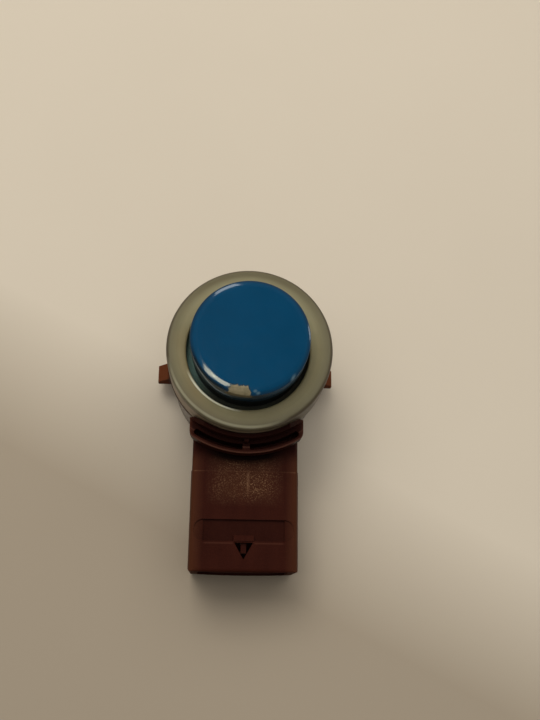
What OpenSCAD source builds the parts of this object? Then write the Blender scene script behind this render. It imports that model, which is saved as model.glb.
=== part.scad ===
// Ultrasonic parking sensor: a painted cup in a silicone ring, on a moulded housing with a side plug socket.
// Frame: Z runs along the axis of the sounding cup, the rear face is at Z = 0, and the socket points along -Y.

/* [Cup] */
// Outer diameter of the painted cup
cup_d = 16; // [15.2:0.1:16.6]
// How far the cup's face stands above the ring's face
cup_proud = 4.5; // [3.8:0.1:5.4]
// Rounding of the cup's front edge
cup_edge_r = 0.6; // [0.4:0.05:0.9]
// Side wall of the cup
cup_wall = 1.4; // [1.1:0.05:1.7]
// Thickness of the sounding face
face_t = 0.8; // [0.6:0.05:1.1]
// Width of the narrow pocket behind the sounding face
pocket_w = 9; // [8:0.1:9.8]
// Depth of the narrow pocket
pocket_h = 2; // [1.6:0.1:2.6]
// How far the paint runs down the side, from the face
paint_h = 3.3; // [2.6:0.1:3.6]
// How far the painted band stands out from the bare wall below it
band_step = 0.2; // [0.16:0.02:0.3]
// How far the foot of the cup stands out
foot_w = 0.9; // [0.7:0.05:1]
// Height of the foot
foot_h = 1.2; // [0.9:0.05:1.4]

/* [Silicone ring] */
// Wall of the ring, from its bore to its outside
ring_wall = 2.6; // [2.45:0.05:2.7]
// Height of the ring above the housing's rim
ring_h = 6.3; // [6:0.1:7]
// Open gap between the cup and the ring's bore
ring_gap = 0.85; // [0.7:0.05:0.95]
// Depth of the open gap
gap_h = 2.3; // [2:0.1:2.6]
// Rounding of the ring's outer edge
ring_edge_r = 0.8; // [0.5:0.05:1]
// Rounding of the ring's inner edge
ring_lip_r = 0.25; // [0.1:0.05:0.35]
// Thickness of the web that grips the cup above its foot
web_t = 1; // [0.8:0.05:1.2]
// Thickness of the lip under the cup's foot
lip_t = 0.8; // [0.6:0.05:1]

/* [Barrel] */
// How far the rim stands out from the barrel
rim_w = 0.53; // [0.3:0.01:0.6]
// Height of the barrel, from the rear face to the rim
barrel_h = 12.2; // [12:0.1:12.8]
// How far the rim stays inside the ring's outside
rim_inset = 0.02; // [0:0.01:0.08]
// Height of the rim
rim_h = 0.8; // [0.6:0.05:1.1]
// Wall of the barrel at the rear opening
barrel_wall = 1.2; // [1:0.05:1.3]
// Height of the spigot that the ring is pushed over
spigot_h = 3; // [2.6:0.1:3.2]
// Thickness of the spigot
spigot_t = 0.85; // [0.7:0.05:0.95]

/* [Slotted collar] */
// Thickness of the guard wall behind the ring
guard_t = 0.55; // [0.5:0.05:0.65]
// Width of the flat strip between the guard wall and the slots
strip_w = 0.5; // [0.4:0.05:0.55]
// How far the collar stands out beside the connector
collar_side = 0.33; // [0.25:0.01:0.45]
// Rounding of the collar's outer corners
collar_corner_r = 1.2; // [0.8:0.1:1.6]
// Distance from the head's axis to the straight back edge of the collar
collar_back_y = 9.05; // [8.8:0.05:9.3]
// Thickness of the collar's plate
collar_t = 2; // [1.7:0.05:2.3]
// How far the plate's top stands above the rim
collar_rise = 1.85; // [1.7:0.05:2.1]
// Width of the two slots
slot_w = 0.8; // [0.65:0.05:0.85]
// Thickness of the thin band outside the slots
band_t = 0.47; // [0.4:0.01:0.55]
// Width of the web between the slots
slot_web_w = 1; // [0.8:0.1:1.4]
// Wall left at the outer end of each slot
slot_end_w = 0.6; // [0.5:0.05:1]
// How far the guard wall behind the slots stands above the rim
guard_rise = 3.8; // [3.4:0.1:4.4]
// Length of the ramp at each end of the guard wall
guard_ramp_l = 2; // [1.6:0.1:2.6]
// Width of the rib from the guard wall to the web between the slots
guard_rib_w = 0.6; // [0.4:0.1:0.8]

/* [Connector] */
// Outer width of the connector
conn_w = 15.04; // [14.8:0.02:15.3]
// Outer height of the connector
conn_h = 10.95; // [10.8:0.05:11.1]
// Distance from the head's axis to the connector's end
conn_reach = 29.6; // [29:0.1:31]
// How far the connector's end is bowed outwards
end_bow = 0.2; // [0.1:0.05:0.3]
// Wall of the connector
conn_wall = 1.2; // [1:0.05:1.4]
// Depth of the plug socket
socket_depth = 11.1; // [10.8:0.1:11.4]
// Thickness of the wall that carries the terminals
partition_t = 1.6; // [1.4:0.1:1.8]
// Rounding of the connector's long edges
conn_edge_r = 1.1; // [0.8:0.05:1.2]
// Rounding of the plug socket's inner corners
socket_corner_r = 0.7; // [0.5:0.05:0.9]
// Distance from the head's axis to the mould line
mould_line_y = 15.8; // [15.4:0.1:16.4]
// Step in the surface at the mould line
mould_step = 0.12; // [0.05:0.01:0.14]
// Length of the low tapered ridge in front of the mould line
ridge_l = 3.8; // [3:0.1:5]
// Width of the ridge at the mould line
ridge_w = 0.7; // [0.4:0.05:0.9]
// Width of the shallow recess
recess_w = 13.8; // [13.2:0.1:14]
// Length of the shallow recess
recess_l = 2.9; // [2.7:0.1:3.2]
// Distance from the recess to the connector's end
recess_inset = 4.2; // [4:0.1:4.5]
// Depth of the recess
recess_t = 0.4; // [0.25:0.05:0.45]
// Corner radius of the recess
recess_r = 1.3; // [1:0.1:1.4]
// Length of the raised step at each end of the recess
recess_step_w = 1.3; // [1:0.1:1.6]
// Width of the raised catch bar
bar_w = 2.75; // [2.4:0.05:3]
// Length of the raised catch bar
bar_l = 0.75; // [0.5:0.05:0.9]
// How far the catch bar stands above the connector's top
bar_rise = 0.12; // [0.06:0.02:0.2]
// Width of the latch window
window_w = 2.6; // [2.3:0.1:2.8]
// Length of the latch window
window_l = 2.25; // [2.1:0.05:2.5]
// Width of the rib that runs into the latch window
window_rib_w = 0.75; // [0.45:0.05:0.85]
// Length of that rib
window_rib_l = 1.4; // [1.2:0.1:1.6]
// Width of the key ribs in the socket
key_w = 0.8; // [0.6:0.05:1]
// Height of the key ribs in the socket
key_h = 0.6; // [0.4:0.05:0.7]

/* [Side lugs] */
// How far a lug stands out from the barrel
lug_reach = 2.4; // [2.2:0.1:2.6]
// Width of a lug
lug_w = 2.5; // [2.2:0.1:2.8]
// Height of a lug's underside above the rear face
lug_z = 2.3; // [2:0.1:2.8]
// Height of the flat land at a lug's tip
lug_land = 1.1; // [0.9:0.05:1.4]
// Rise of a lug's ramp
lug_ramp = 2.8; // [2.4:0.1:3.2]

/* [Electronics] */
// Thickness of the circuit board
board_t = 0.8; // [0.7:0.05:1]
// Height of the board's top above the rear face
board_top = 4; // [3.8:0.05:4.2]
// Thickness of the rear potting
potting_t = 2.4; // [2.2:0.05:2.5]
// Thickness of the contact carrier
carrier_t = 1.2; // [1:0.05:1.3]
// Thickness of the terminals
terminal_t = 0.64; // [0.55:0.01:0.7]
// Distance between the terminals
terminal_pitch = 2.54; // [2.4:0.02:2.7]
// Height of the terminals' centre above the rear face
terminal_z = 4.9; // [4.8:0.05:5]
// Length of the terminals inside the socket
terminal_l = 7; // [6.5:0.1:7.3]
// Diameter of the piezo disc
piezo_d = 7.4; // [7:0.1:8]
// Thickness of the piezo disc
piezo_t = 0.3; // [0.2:0.05:0.4]

/* [Hidden] */
$fn = 96;

// Cuts run past the faces that they open by this much
overrun = 0.5;
// Room round a piece that is pushed or moulded into its seat
seat_clear = 0.02;
// Room round a piece that is laid in its seat
lay_clear = 0.15;
// Room between the ring's skirt and the guard wall
guard_clear = 0.1;

// Levels along the head's axis
ring_face_z = barrel_h + ring_h;
cup_face_z = ring_face_z + cup_proud;
gap_floor_z = ring_face_z - gap_h;
foot_top_z = gap_floor_z - web_t;
cup_foot_z = foot_top_z - foot_h;
lip_z = cup_foot_z - lip_t;
pocket_floor_z = cup_face_z - face_t;
land_z = pocket_floor_z - pocket_h;
carrier_top_z = lip_z - lip_t;
carrier_z = carrier_top_z - carrier_t;
board_z = board_top - board_t;

// Radii of the head
cup_r = cup_d / 2;
cup_body_r = cup_r - band_step;
foot_r = cup_body_r + foot_w;
ring_bore_r = cup_r + ring_gap;
ring_r = ring_bore_r + ring_wall;
rim_r = ring_r - rim_inset;
barrel_r = rim_r - rim_w;
cup_in_r = cup_r - cup_wall;

// Bores of the housing
rear_bore_r = barrel_r - barrel_wall;
ledge_w = 0.7;
chamber_r = rear_bore_r - ledge_w;
spigot_in_r = rear_bore_r - seat_clear;
spigot_r = spigot_in_r + spigot_t;

// Collar over the connector
collar_top_z = barrel_h + collar_rise;
collar_z = collar_top_z - collar_t;
collar_w = conn_w + 2 * collar_side;
guard_in_r = ring_r + guard_clear;
guard_out_r = guard_in_r + guard_t;
slot_in_r = guard_out_r + strip_w;
slot_out_r = slot_in_r + slot_w;
collar_r = slot_out_r + band_t;
guard_top_z = barrel_h + guard_rise;
guard_rib_inset = 0.1;
guard_rib_drop = 0.6;
neck_inset = 0.45;
slot_floor_t = 0.4;

// Connector and its channel
conn_in_w = conn_w - 2 * conn_wall;
conn_in_top = conn_h - conn_wall;
socket_back_y = conn_reach - socket_depth;
channel_y = socket_back_y - partition_t;
channel_ledge_w = 0.6;
end_corner_r = 0.6;
end_bow_r = (pow(conn_w / 2, 2) + pow(end_bow, 2)) / (2 * end_bow);
recess_end_y = conn_reach - recess_inset;
recess_step_share = 0.45;
ridge_tip_w = 0.2;
ridge_h = 0.08;
window_gap = 0.2;
window_y = recess_end_y + window_gap;
window_rib_t = 0.7;
key_share = 0.62;
key_x = key_share * conn_in_w / 2;

// Leads and contact pins
lead_d = 0.3;
pin_d = 0.6;
contact_inset = 1.2;
ground_reach = 0.8;
contact_x = contact_inset - piezo_d / 2;
ground_y = pocket_w / 2 + ground_reach;
pin_proud = 0.8;
pin_tail = 0.5;
pin_top_z = carrier_top_z + pin_proud;
pin_tail_z = board_z - pin_tail;
pad_t = 1.5;
carrier_rib_w = 0.8;
carrier_rib_h = 1;

// Terminals
terminal_tip = 0.9;
terminal_tip_t = 0.3;
terminal_in = 1.7;
terminal_drop_y = channel_y - terminal_in;
terminal_end_y = socket_back_y + terminal_l;

// Driver chip
chip_w = 4;
chip_l = 5;
chip_t = 1.1;
chip_inset = 10.3;
chip_y = chip_inset - channel_y;
chip_foot = 0.1;
leg_w = 0.4;
leg_t = 0.2;
leg_reach = 0.9;
leg_count = 4;
leg_pitch = 1.2;

// Pulse transformer
trafo_w = 5.4;
trafo_inset = 5.7;
trafo_x = chamber_r - trafo_inset;
trafo_y = trafo_x;
trafo_base_t = 0.8;
core_d = 4.8;
core_neck_d = 2.2;
core_flange_t = 0.6;
core_h = 3.6;
winding_room = 0.25;

// Small parts on the board, each with its length, width, height and place
filter_inset = 5.1;
filter_share = 0.57;
res_inset = 3.4;
cap_big_inset = 3.1;
cap_small_inset = 3.8;
cap_big = [3.2, 1.6, 1.6];
cap_big_at = [cap_big_inset - chamber_r, -2.2];
cap_small = [2, 1.25, 1];
cap_small_at = [cap_small_inset - chamber_r, 3.2];
cap_filter = [1.6, 0.8, 0.8];
cap_filter_y = filter_inset - channel_y;
cap_filter_x = filter_share * conn_in_w / 2;
res_size = [1.6, 0.8, 0.5];
res_1_at = [chamber_r - res_inset, -2.6];
res_2_at = [chamber_r - res_inset, -4.6];
diode_size = [2.7, 1.6, 1.1];
diode_at = [0, filter_inset - channel_y];
end_cap_share = 0.2;
end_cap_t = 0.04;

module rounded_plate(w, h, r) {
    translate([r, 0]) square([w - 2 * r, h]);
    translate([0, r]) square([w, h - 2 * r]);
    for (x = [r, w - r]) {
        for (y = [r, h - r]) {
            translate([x, y]) circle(r = r);
        }
    }
}

// Extrudes a profile drawn in X and Z from y0 to y1 along Y
module along_y(y0, y1) {
    translate([0, y1, 0]) rotate([90, 0, 0]) linear_extrude(height = y1 - y0) children();
}

// Extrudes a profile drawn in Y and Z across a width that is centred on X
module across_x(w) {
    translate([-w / 2, 0, 0]) rotate([90, 0, 90]) linear_extrude(height = w) children();
}

// Connector block with rounded long edges and a rounded end
module connector_block() {
    intersection() {
        along_y(-conn_reach, 0) {
            translate([-conn_w / 2, 0]) rounded_plate(conn_w, conn_h, conn_edge_r);
        }
        linear_extrude(height = conn_h) {
            translate([-conn_w / 2, -conn_reach]) {
                rounded_plate(conn_w, 2 * conn_reach, end_corner_r);
            }
        }
        translate([0, end_bow_r - conn_reach, 0]) cylinder(r = end_bow_r, h = conn_h, $fn = 720);
        across_x(conn_w) {
            translate([-conn_reach, 0]) rounded_plate(2 * conn_reach, conn_h, end_corner_r);
        }
    }
}

// Skin that is taken off the connector between the barrel and the mould line
module mould_skin() {
    along_y(-mould_line_y, 0) {
        difference() {
            translate([-conn_w, -overrun]) square([2 * conn_w, conn_h + 2 * overrun]);
            translate([mould_step - conn_w / 2, -2 * overrun]) {
                square([conn_w - 2 * mould_step, conn_h - mould_step + 2 * overrun]);
            }
        }
    }
}

// Area of the collar seen from above, out to a radius
module collar_area(r) {
    intersection() {
        circle(r = r);
        translate([-collar_w / 2, -collar_r - overrun]) {
            square([collar_w, collar_r + overrun - collar_back_y]);
        }
    }
}

// The same area with its two outer corners rounded
module rounded_collar_area(r) {
    corner_x = collar_w / 2 - collar_corner_r;
    corner_y = sqrt(pow(r - collar_corner_r, 2) - pow(corner_x, 2));
    out_share = r / (r - collar_corner_r);
    difference() {
        collar_area(r);
        for (side = [-1, 1]) {
            polygon([
                [side * collar_w / 2, -corner_y],
                [side * collar_w, -corner_y],
                [side * collar_w, -2 * r],
                [side * corner_x * out_share, -2 * r],
                [side * corner_x * out_share, -corner_y * out_share]
            ]);
        }
    }
    for (side = [-1, 1]) {
        translate([side * corner_x, -corner_y]) circle(r = collar_corner_r);
    }
}

// Plate, neck and guard wall of the slotted collar
module collar() {
    translate([0, 0, collar_z]) linear_extrude(height = collar_t) rounded_collar_area(collar_r);
    translate([0, 0, conn_h / 2]) {
        linear_extrude(height = collar_z - conn_h / 2) {
            intersection() {
                circle(r = collar_r - neck_inset);
                translate([mould_step - conn_w / 2, -collar_r]) {
                    square([conn_w - 2 * mould_step, collar_r]);
                }
            }
        }
    }
    intersection() {
        translate([0, 0, collar_z]) {
            linear_extrude(height = guard_top_z - collar_z) collar_area(guard_out_r);
        }
        along_y(-collar_r, 0) {
            polygon([
                [-collar_w / 2, collar_z],
                [collar_w / 2, collar_z],
                [collar_w / 2, collar_top_z],
                [collar_w / 2 - guard_ramp_l, guard_top_z],
                [guard_ramp_l - collar_w / 2, guard_top_z],
                [-collar_w / 2, collar_top_z]
            ]);
        }
    }
    translate([-guard_rib_w / 2, guard_rib_inset - slot_in_r, collar_z]) {
        cube([guard_rib_w, strip_w, guard_top_z - guard_rib_drop - collar_z]);
    }
}

// The pair of curved slots in the collar, square beside the web and round at their outer ends
module slots() {
    slot_mid_r = (slot_in_r + slot_out_r) / 2;
    end_x = collar_w / 2 - slot_end_w - slot_w / 2;
    end_y = sqrt(pow(slot_mid_r, 2) - pow(end_x, 2));
    translate([0, 0, conn_h + slot_floor_t]) {
        linear_extrude(height = guard_top_z) {
            for (side = [-1, 1]) {
                intersection() {
                    difference() {
                        circle(r = slot_out_r);
                        circle(r = slot_in_r);
                    }
                    polygon([
                        [side * slot_web_w / 2, -end_y / 2],
                        [side * end_x / 2, -end_y / 2],
                        [side * 2 * end_x, -2 * end_y],
                        [side * slot_web_w / 2, -2 * end_y]
                    ]);
                }
                translate([side * end_x, -end_y]) circle(r = slot_w / 2);
            }
        }
    }
}

// Wedge lug: flat underside, short land and a ramp that rises to the barrel
module lug() {
    tip_x = barrel_r + lug_reach;
    root_x = barrel_r - barrel_wall / 2;
    along_y(-lug_w / 2, lug_w / 2) {
        polygon([
            [root_x, lug_z],
            [tip_x, lug_z],
            [tip_x, lug_z + lug_land],
            [barrel_r, lug_z + lug_land + lug_ramp],
            [root_x, lug_z + lug_land + lug_ramp]
        ]);
    }
}

// Shallow recess with a step at each end and the catch bar left standing in it
module recess() {
    difference() {
        translate([-recess_w / 2, -recess_end_y, conn_h - recess_t]) {
            linear_extrude(height = recess_t + overrun) rounded_plate(recess_w, recess_l, recess_r);
        }
        for (side = [-1, 1]) {
            translate([side * (recess_w / 2 - recess_step_w), -recess_end_y, 0]) {
                translate([side > 0 ? 0 : -recess_w, 0, 0]) {
                    cube([recess_w, recess_l, conn_h - recess_t * (1 - recess_step_share)]);
                }
            }
        }
        translate([-bar_w / 2, -recess_end_y, 0]) cube([bar_w, bar_l, conn_h + 2 * overrun]);
    }
}

// Low tapered ridge on the connector's top, in front of the mould line
module ridge() {
    translate([0, 0, conn_in_top]) linear_extrude(height = conn_wall + ridge_h) {
        polygon([
            [-ridge_w / 2, -mould_line_y],
            [-ridge_tip_w / 2, -mould_line_y - ridge_l],
            [ridge_tip_w / 2, -mould_line_y - ridge_l],
            [ridge_w / 2, -mould_line_y]
        ]);
    }
}

// Catch bar along the front edge of the recess
module catch_bar() {
    translate([-bar_w / 2, -recess_end_y, conn_in_top]) cube([bar_w, bar_l, conn_wall + bar_rise]);
}

// Triangular latch window through the connector's top wall
module latch_window() {
    difference() {
        translate([0, 0, conn_in_top - overrun]) {
            linear_extrude(height = conn_wall + 2 * overrun) {
                polygon([
                    [-window_w / 2, -window_y],
                    [window_w / 2, -window_y],
                    [0, -window_y - window_l]
                ]);
            }
        }
        translate([-window_rib_w / 2, -window_y - window_rib_l, conn_in_top]) {
            cube([window_rib_w, window_rib_l, window_rib_t]);
        }
    }
}

// Plug socket with two key ribs left on its floor
module socket() {
    difference() {
        along_y(-conn_reach - overrun, -socket_back_y) {
            translate([-conn_in_w / 2, conn_wall]) {
                rounded_plate(conn_in_w, conn_in_top - conn_wall, socket_corner_r);
            }
        }
        for (side = [-1, 1]) {
            translate([side * key_x - key_w / 2, -conn_reach + key_w, 0]) {
                cube([key_w, socket_depth, conn_wall + key_h]);
            }
        }
    }
}

// Outline of the rear opening, shrunk by a clearance
module rear_outline(clear) {
    circle(r = rear_bore_r - clear);
    translate([-conn_in_w / 2 + clear, -channel_y + clear]) {
        square([conn_in_w - 2 * clear, channel_y]);
    }
}

// Room for the board and its parts, open at the rear
module chamber() {
    upper_w = conn_in_w - 2 * channel_ledge_w;
    translate([0, 0, -overrun]) linear_extrude(height = board_top + overrun) rear_outline(0);
    cylinder(r = chamber_r, h = barrel_h);
    translate([-upper_w / 2, -channel_y, 0]) cube([upper_w, channel_y, conn_in_top]);
    translate([0, 0, carrier_z]) cylinder(r = spigot_in_r, h = barrel_h + spigot_h);
}

// Side profile of an L-shaped terminal, grown by a clearance
module terminal_profile(clear) {
    half = terminal_t / 2 + clear;
    polygon([
        [-terminal_drop_y + half, pin_tail_z],
        [-terminal_drop_y + half, terminal_z + half],
        [-terminal_end_y + terminal_tip, terminal_z + half],
        [-terminal_end_y, terminal_z + terminal_tip_t / 2],
        [-terminal_end_y, terminal_z - terminal_tip_t / 2],
        [-terminal_end_y + terminal_tip, terminal_z - half],
        [-terminal_drop_y - half, terminal_z - half],
        [-terminal_drop_y - half, pin_tail_z]
    ]);
}

module terminal(index, clear = 0) {
    translate([(index - 2) * terminal_pitch, 0, 0]) {
        across_x(terminal_t + 2 * clear) terminal_profile(clear);
    }
}

module housing() {
    color([0.24, 0.09, 0.06]) {
        difference() {
            union() {
                cylinder(r = barrel_r, h = barrel_h);
                translate([0, 0, barrel_h - rim_h]) cylinder(r = rim_r, h = rim_h);
                cylinder(r = spigot_r, h = barrel_h + spigot_h);
                difference() {
                    connector_block();
                    mould_skin();
                }
                ridge();
                catch_bar();
                collar();
                lug();
                mirror([1, 0, 0]) lug();
            }
            difference() {
                translate([0, 0, barrel_h]) cylinder(r = guard_in_r, h = guard_top_z);
                cylinder(r = spigot_r, h = barrel_h + spigot_h);
            }
            chamber();
            socket();
            slots();
            recess();
            latch_window();
            for (index = [1:3]) {
                terminal(index, seat_clear);
            }
        }
    }
}

module transducer_cup() {
    color([0.02, 0.2, 0.33]) {
        difference() {
            rotate_extrude() {
                translate([0, cup_foot_z]) square([foot_r, foot_h]);
                translate([0, cup_foot_z]) square([cup_body_r, cup_face_z - cup_foot_z - paint_h]);
                translate([0, cup_face_z - paint_h]) square([cup_r, paint_h - cup_edge_r]);
                translate([0, cup_face_z - paint_h]) square([cup_r - cup_edge_r, paint_h]);
                translate([cup_r - cup_edge_r, cup_face_z - cup_edge_r]) circle(r = cup_edge_r);
            }
            translate([0, 0, cup_foot_z - overrun]) {
                cylinder(r = cup_in_r, h = land_z - cup_foot_z + overrun);
            }
            intersection() {
                cylinder(r = cup_in_r, h = pocket_floor_z);
                translate([-cup_r, -pocket_w / 2, land_z - overrun]) {
                    cube([cup_d, pocket_w, pocket_h + overrun]);
                }
            }
        }
    }
}

// Section of the ring: rounded body, web and lip round the cup's foot, and a groove for the spigot
module ring_section() {
    difference() {
        union() {
            translate([ring_bore_r, barrel_h]) square([ring_r - ring_bore_r, ring_h - ring_edge_r]);
            translate([ring_bore_r + ring_lip_r, barrel_h]) {
                square([ring_r - ring_edge_r - ring_bore_r - ring_lip_r, ring_h]);
            }
            translate([ring_r - ring_edge_r, ring_face_z - ring_edge_r]) circle(r = ring_edge_r);
            translate([ring_bore_r, barrel_h]) square([ring_lip_r, ring_h - ring_lip_r]);
            translate([ring_bore_r + ring_lip_r, ring_face_z - ring_lip_r]) circle(r = ring_lip_r);
            translate([cup_body_r - lip_t, lip_z]) {
                square([ring_bore_r - cup_body_r + lip_t, gap_floor_z - lip_z]);
            }
        }
        translate([0, cup_foot_z]) square([foot_r + seat_clear, foot_h]);
        translate([0, foot_top_z - overrun]) square([cup_body_r + seat_clear, ring_h]);
        translate([0, barrel_h - overrun]) {
            square([spigot_r + seat_clear, lip_z - barrel_h + overrun]);
        }
        translate([spigot_in_r - seat_clear, barrel_h - overrun]) {
            square([spigot_t + 2 * seat_clear, spigot_h + overrun]);
        }
    }
}

module decoupling_ring() {
    color([0.45, 0.42, 0.3]) rotate_extrude() ring_section();
}

module piezo_disc() {
    color([0.75, 0.72, 0.62]) {
        translate([0, 0, pocket_floor_z - piezo_t]) cylinder(d = piezo_d, h = piezo_t);
    }
}

// Straight wire or pin at one of the two contact places
module contact_rod(d, y, z0, z1) {
    translate([contact_x, y, z0]) cylinder(d = d, h = z1 - z0);
}

module signal_lead() {
    color([0.72, 0.36, 0.2]) contact_rod(lead_d, 0, pin_top_z, pocket_floor_z - piezo_t);
}

module ground_lead() {
    color([0.72, 0.36, 0.2]) contact_rod(lead_d, ground_y, pin_top_z, land_z);
}

// Disc inside the head with holes for the leads or pins
module pierced_disc(r, z0, z1, hole_d) {
    difference() {
        translate([0, 0, z0]) cylinder(r = r, h = z1 - z0);
        for (y = [0, ground_y]) {
            contact_rod(hole_d + 2 * seat_clear, y, z0 - overrun, z1 + overrun);
        }
    }
}

module damping_pad() {
    color([0.3, 0.3, 0.32]) pierced_disc(cup_in_r - seat_clear, land_z - pad_t, land_z, lead_d);
}

module cup_fill() {
    color([0.85, 0.85, 0.82]) {
        pierced_disc(cup_in_r - seat_clear, cup_foot_z, land_z - pad_t, lead_d);
    }
}

module foam_disc() {
    color([0.2, 0.2, 0.2]) {
        pierced_disc(cup_in_r - seat_clear, carrier_top_z, cup_foot_z, pin_d);
    }
}

// Disc with a stiffening rib ring, held in the spigot's bore
module contact_carrier() {
    color([0.1, 0.1, 0.1]) {
        difference() {
            union() {
                translate([0, 0, carrier_z]) {
                    cylinder(r = spigot_in_r - seat_clear, h = carrier_t);
                }
                translate([0, 0, carrier_z - carrier_rib_h]) {
                    cylinder(r = chamber_r - seat_clear, h = carrier_rib_h);
                }
            }
            translate([0, 0, carrier_z - carrier_rib_h - overrun]) {
                cylinder(r = chamber_r - carrier_rib_w, h = carrier_rib_h + overrun);
            }
            for (y = [0, ground_y]) {
                contact_rod(pin_d + 2 * seat_clear, y, 0, cup_face_z);
            }
        }
    }
}

module signal_pin() {
    color([0.8, 0.7, 0.4]) contact_rod(pin_d, 0, pin_tail_z, pin_top_z);
}

module ground_pin() {
    color([0.8, 0.7, 0.4]) contact_rod(pin_d, ground_y, pin_tail_z, pin_top_z);
}

module circuit_board() {
    color([0.05, 0.3, 0.15]) {
        difference() {
            translate([0, 0, board_z]) {
                linear_extrude(height = board_t) rear_outline(lay_clear);
            }
            for (y = [0, ground_y]) {
                contact_rod(pin_d + 2 * seat_clear, y, 0, board_top + overrun);
            }
            for (index = [1:3]) {
                terminal(index, seat_clear);
            }
        }
    }
}

// Moulded chip body on two rows of bent legs
module driver_chip() {
    color([0.08, 0.08, 0.08]) {
        translate([0, chip_y, board_top]) {
            translate([-chip_w / 2, -chip_l / 2, chip_foot]) cube([chip_w, chip_l, chip_t]);
            for (side = [-1, 1]) {
                for (row = [0:leg_count - 1]) {
                    translate([
                        side * (chip_w + leg_reach) / 2 - leg_reach / 2,
                        (row - (leg_count - 1) / 2) * leg_pitch - leg_w / 2,
                        0
                    ]) {
                        cube([leg_reach, leg_w, leg_t]);
                        translate([side > 0 ? 0 : leg_reach - leg_t, 0, 0]) {
                            cube([leg_t, leg_w, chip_foot + chip_t / 2]);
                        }
                    }
                }
            }
        }
    }
}

module transformer_base() {
    color([0.15, 0.15, 0.15]) {
        translate([trafo_x - trafo_w / 2, trafo_y - trafo_w / 2, board_top]) {
            cube([trafo_w, trafo_w, trafo_base_t]);
        }
    }
}

module transformer_core() {
    color([0.25, 0.25, 0.27]) {
        translate([trafo_x, trafo_y, board_top + trafo_base_t]) {
            cylinder(d = core_neck_d, h = core_h);
            cylinder(d = core_d, h = core_flange_t);
            translate([0, 0, core_h - core_flange_t]) cylinder(d = core_d, h = core_flange_t);
        }
    }
}

module transformer_winding() {
    color([0.7, 0.35, 0.15]) {
        translate([trafo_x, trafo_y, board_top + trafo_base_t + core_flange_t]) {
            difference() {
                cylinder(d = core_d - 2 * winding_room, h = core_h - 2 * core_flange_t);
                translate([0, 0, -overrun]) {
                    cylinder(d = core_neck_d + 2 * seat_clear, h = core_h);
                }
            }
        }
    }
}

// Chip capacitor or resistor: a block with slightly thicker metal ends
module chip_part(size, at) {
    translate([at[0], at[1], board_top]) {
        translate([-size[0] / 2, -size[1] / 2, 0]) cube(size);
        for (side = [-1, 1]) {
            end_l = end_cap_share * size[0];
            translate([side * (size[0] - end_l) / 2 - end_l / 2, -size[1] / 2 - end_cap_t, 0]) {
                cube([end_l, size[1] + 2 * end_cap_t, size[2] + end_cap_t]);
            }
        }
    }
}

module supply_capacitor() {
    color([0.6, 0.5, 0.4]) chip_part(cap_big, cap_big_at);
}

module tuning_capacitor() {
    color([0.6, 0.5, 0.4]) chip_part(cap_small, cap_small_at);
}

module filter_capacitor(side) {
    color([0.6, 0.5, 0.4]) chip_part(cap_filter, [side * cap_filter_x, cap_filter_y]);
}

module resistor(at) {
    color([0.12, 0.12, 0.12]) chip_part(res_size, at);
}

module diode() {
    color([0.1, 0.1, 0.1]) chip_part(diode_size, diode_at);
}

module rear_potting() {
    color([0.06, 0.06, 0.06]) linear_extrude(height = potting_t) rear_outline(seat_clear);
}

housing();
transducer_cup();
decoupling_ring();
piezo_disc();
signal_lead();
ground_lead();
damping_pad();
cup_fill();
foam_disc();
contact_carrier();
signal_pin();
ground_pin();
circuit_board();
driver_chip();
transformer_base();
transformer_core();
transformer_winding();
supply_capacitor();
tuning_capacitor();
filter_capacitor(-1);  // filter_capacitor_1
filter_capacitor(1);  // filter_capacitor_2
resistor(res_1_at);  // resistor_1
resistor(res_2_at);  // resistor_2
diode();
color([0.75, 0.73, 0.68]) terminal(1);  // terminal_1
color([0.75, 0.73, 0.68]) terminal(2);  // terminal_2
color([0.75, 0.73, 0.68]) terminal(3);  // terminal_3
rear_potting();
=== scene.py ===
import math

import bmesh
import bpy
from mathutils import Matrix, Vector


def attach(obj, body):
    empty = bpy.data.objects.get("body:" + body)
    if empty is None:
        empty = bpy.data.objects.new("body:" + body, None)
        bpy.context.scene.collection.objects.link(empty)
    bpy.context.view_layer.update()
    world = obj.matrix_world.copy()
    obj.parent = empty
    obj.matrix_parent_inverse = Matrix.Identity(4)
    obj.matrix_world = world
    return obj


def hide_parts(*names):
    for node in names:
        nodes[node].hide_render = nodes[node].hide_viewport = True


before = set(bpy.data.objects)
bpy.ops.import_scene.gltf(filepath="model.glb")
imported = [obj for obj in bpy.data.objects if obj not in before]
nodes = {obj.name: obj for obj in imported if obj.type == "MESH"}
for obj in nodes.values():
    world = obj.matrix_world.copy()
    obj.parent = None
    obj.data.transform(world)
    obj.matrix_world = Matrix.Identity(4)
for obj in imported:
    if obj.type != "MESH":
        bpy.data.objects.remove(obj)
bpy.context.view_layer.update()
scene = bpy.context.scene

MM = 0.001

# Camera, fitted to the photo: lens and sensor in millimetres, angles in degrees, place in millimetres
LENS = 40.99
SENSOR_W = 36.0
CAMERA_TURN = -11.245
CAMERA_TILT = 17.195
CAMERA_ROLL = 12.477
CAMERA_PLACE = (-3.591, -34.135, 125.018)
NEAREST_SEEN = 0.005
FURTHEST_SEEN = 5.0

# The point that the lamps look at, in millimetres, and how far they stand from it, in metres
HEAD = (0.0, 0.0, 20.0)
PANEL_REACH = 0.5

# Colours of the lamps and of the room, as linear values
WARM = (1.0, 0.97, 0.92)
CREAM = (1.0, 0.93, 0.66)
COOL = (0.95, 1.0, 1.0)
ROOM_TINT = (1.0, 0.97, 0.93)

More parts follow.
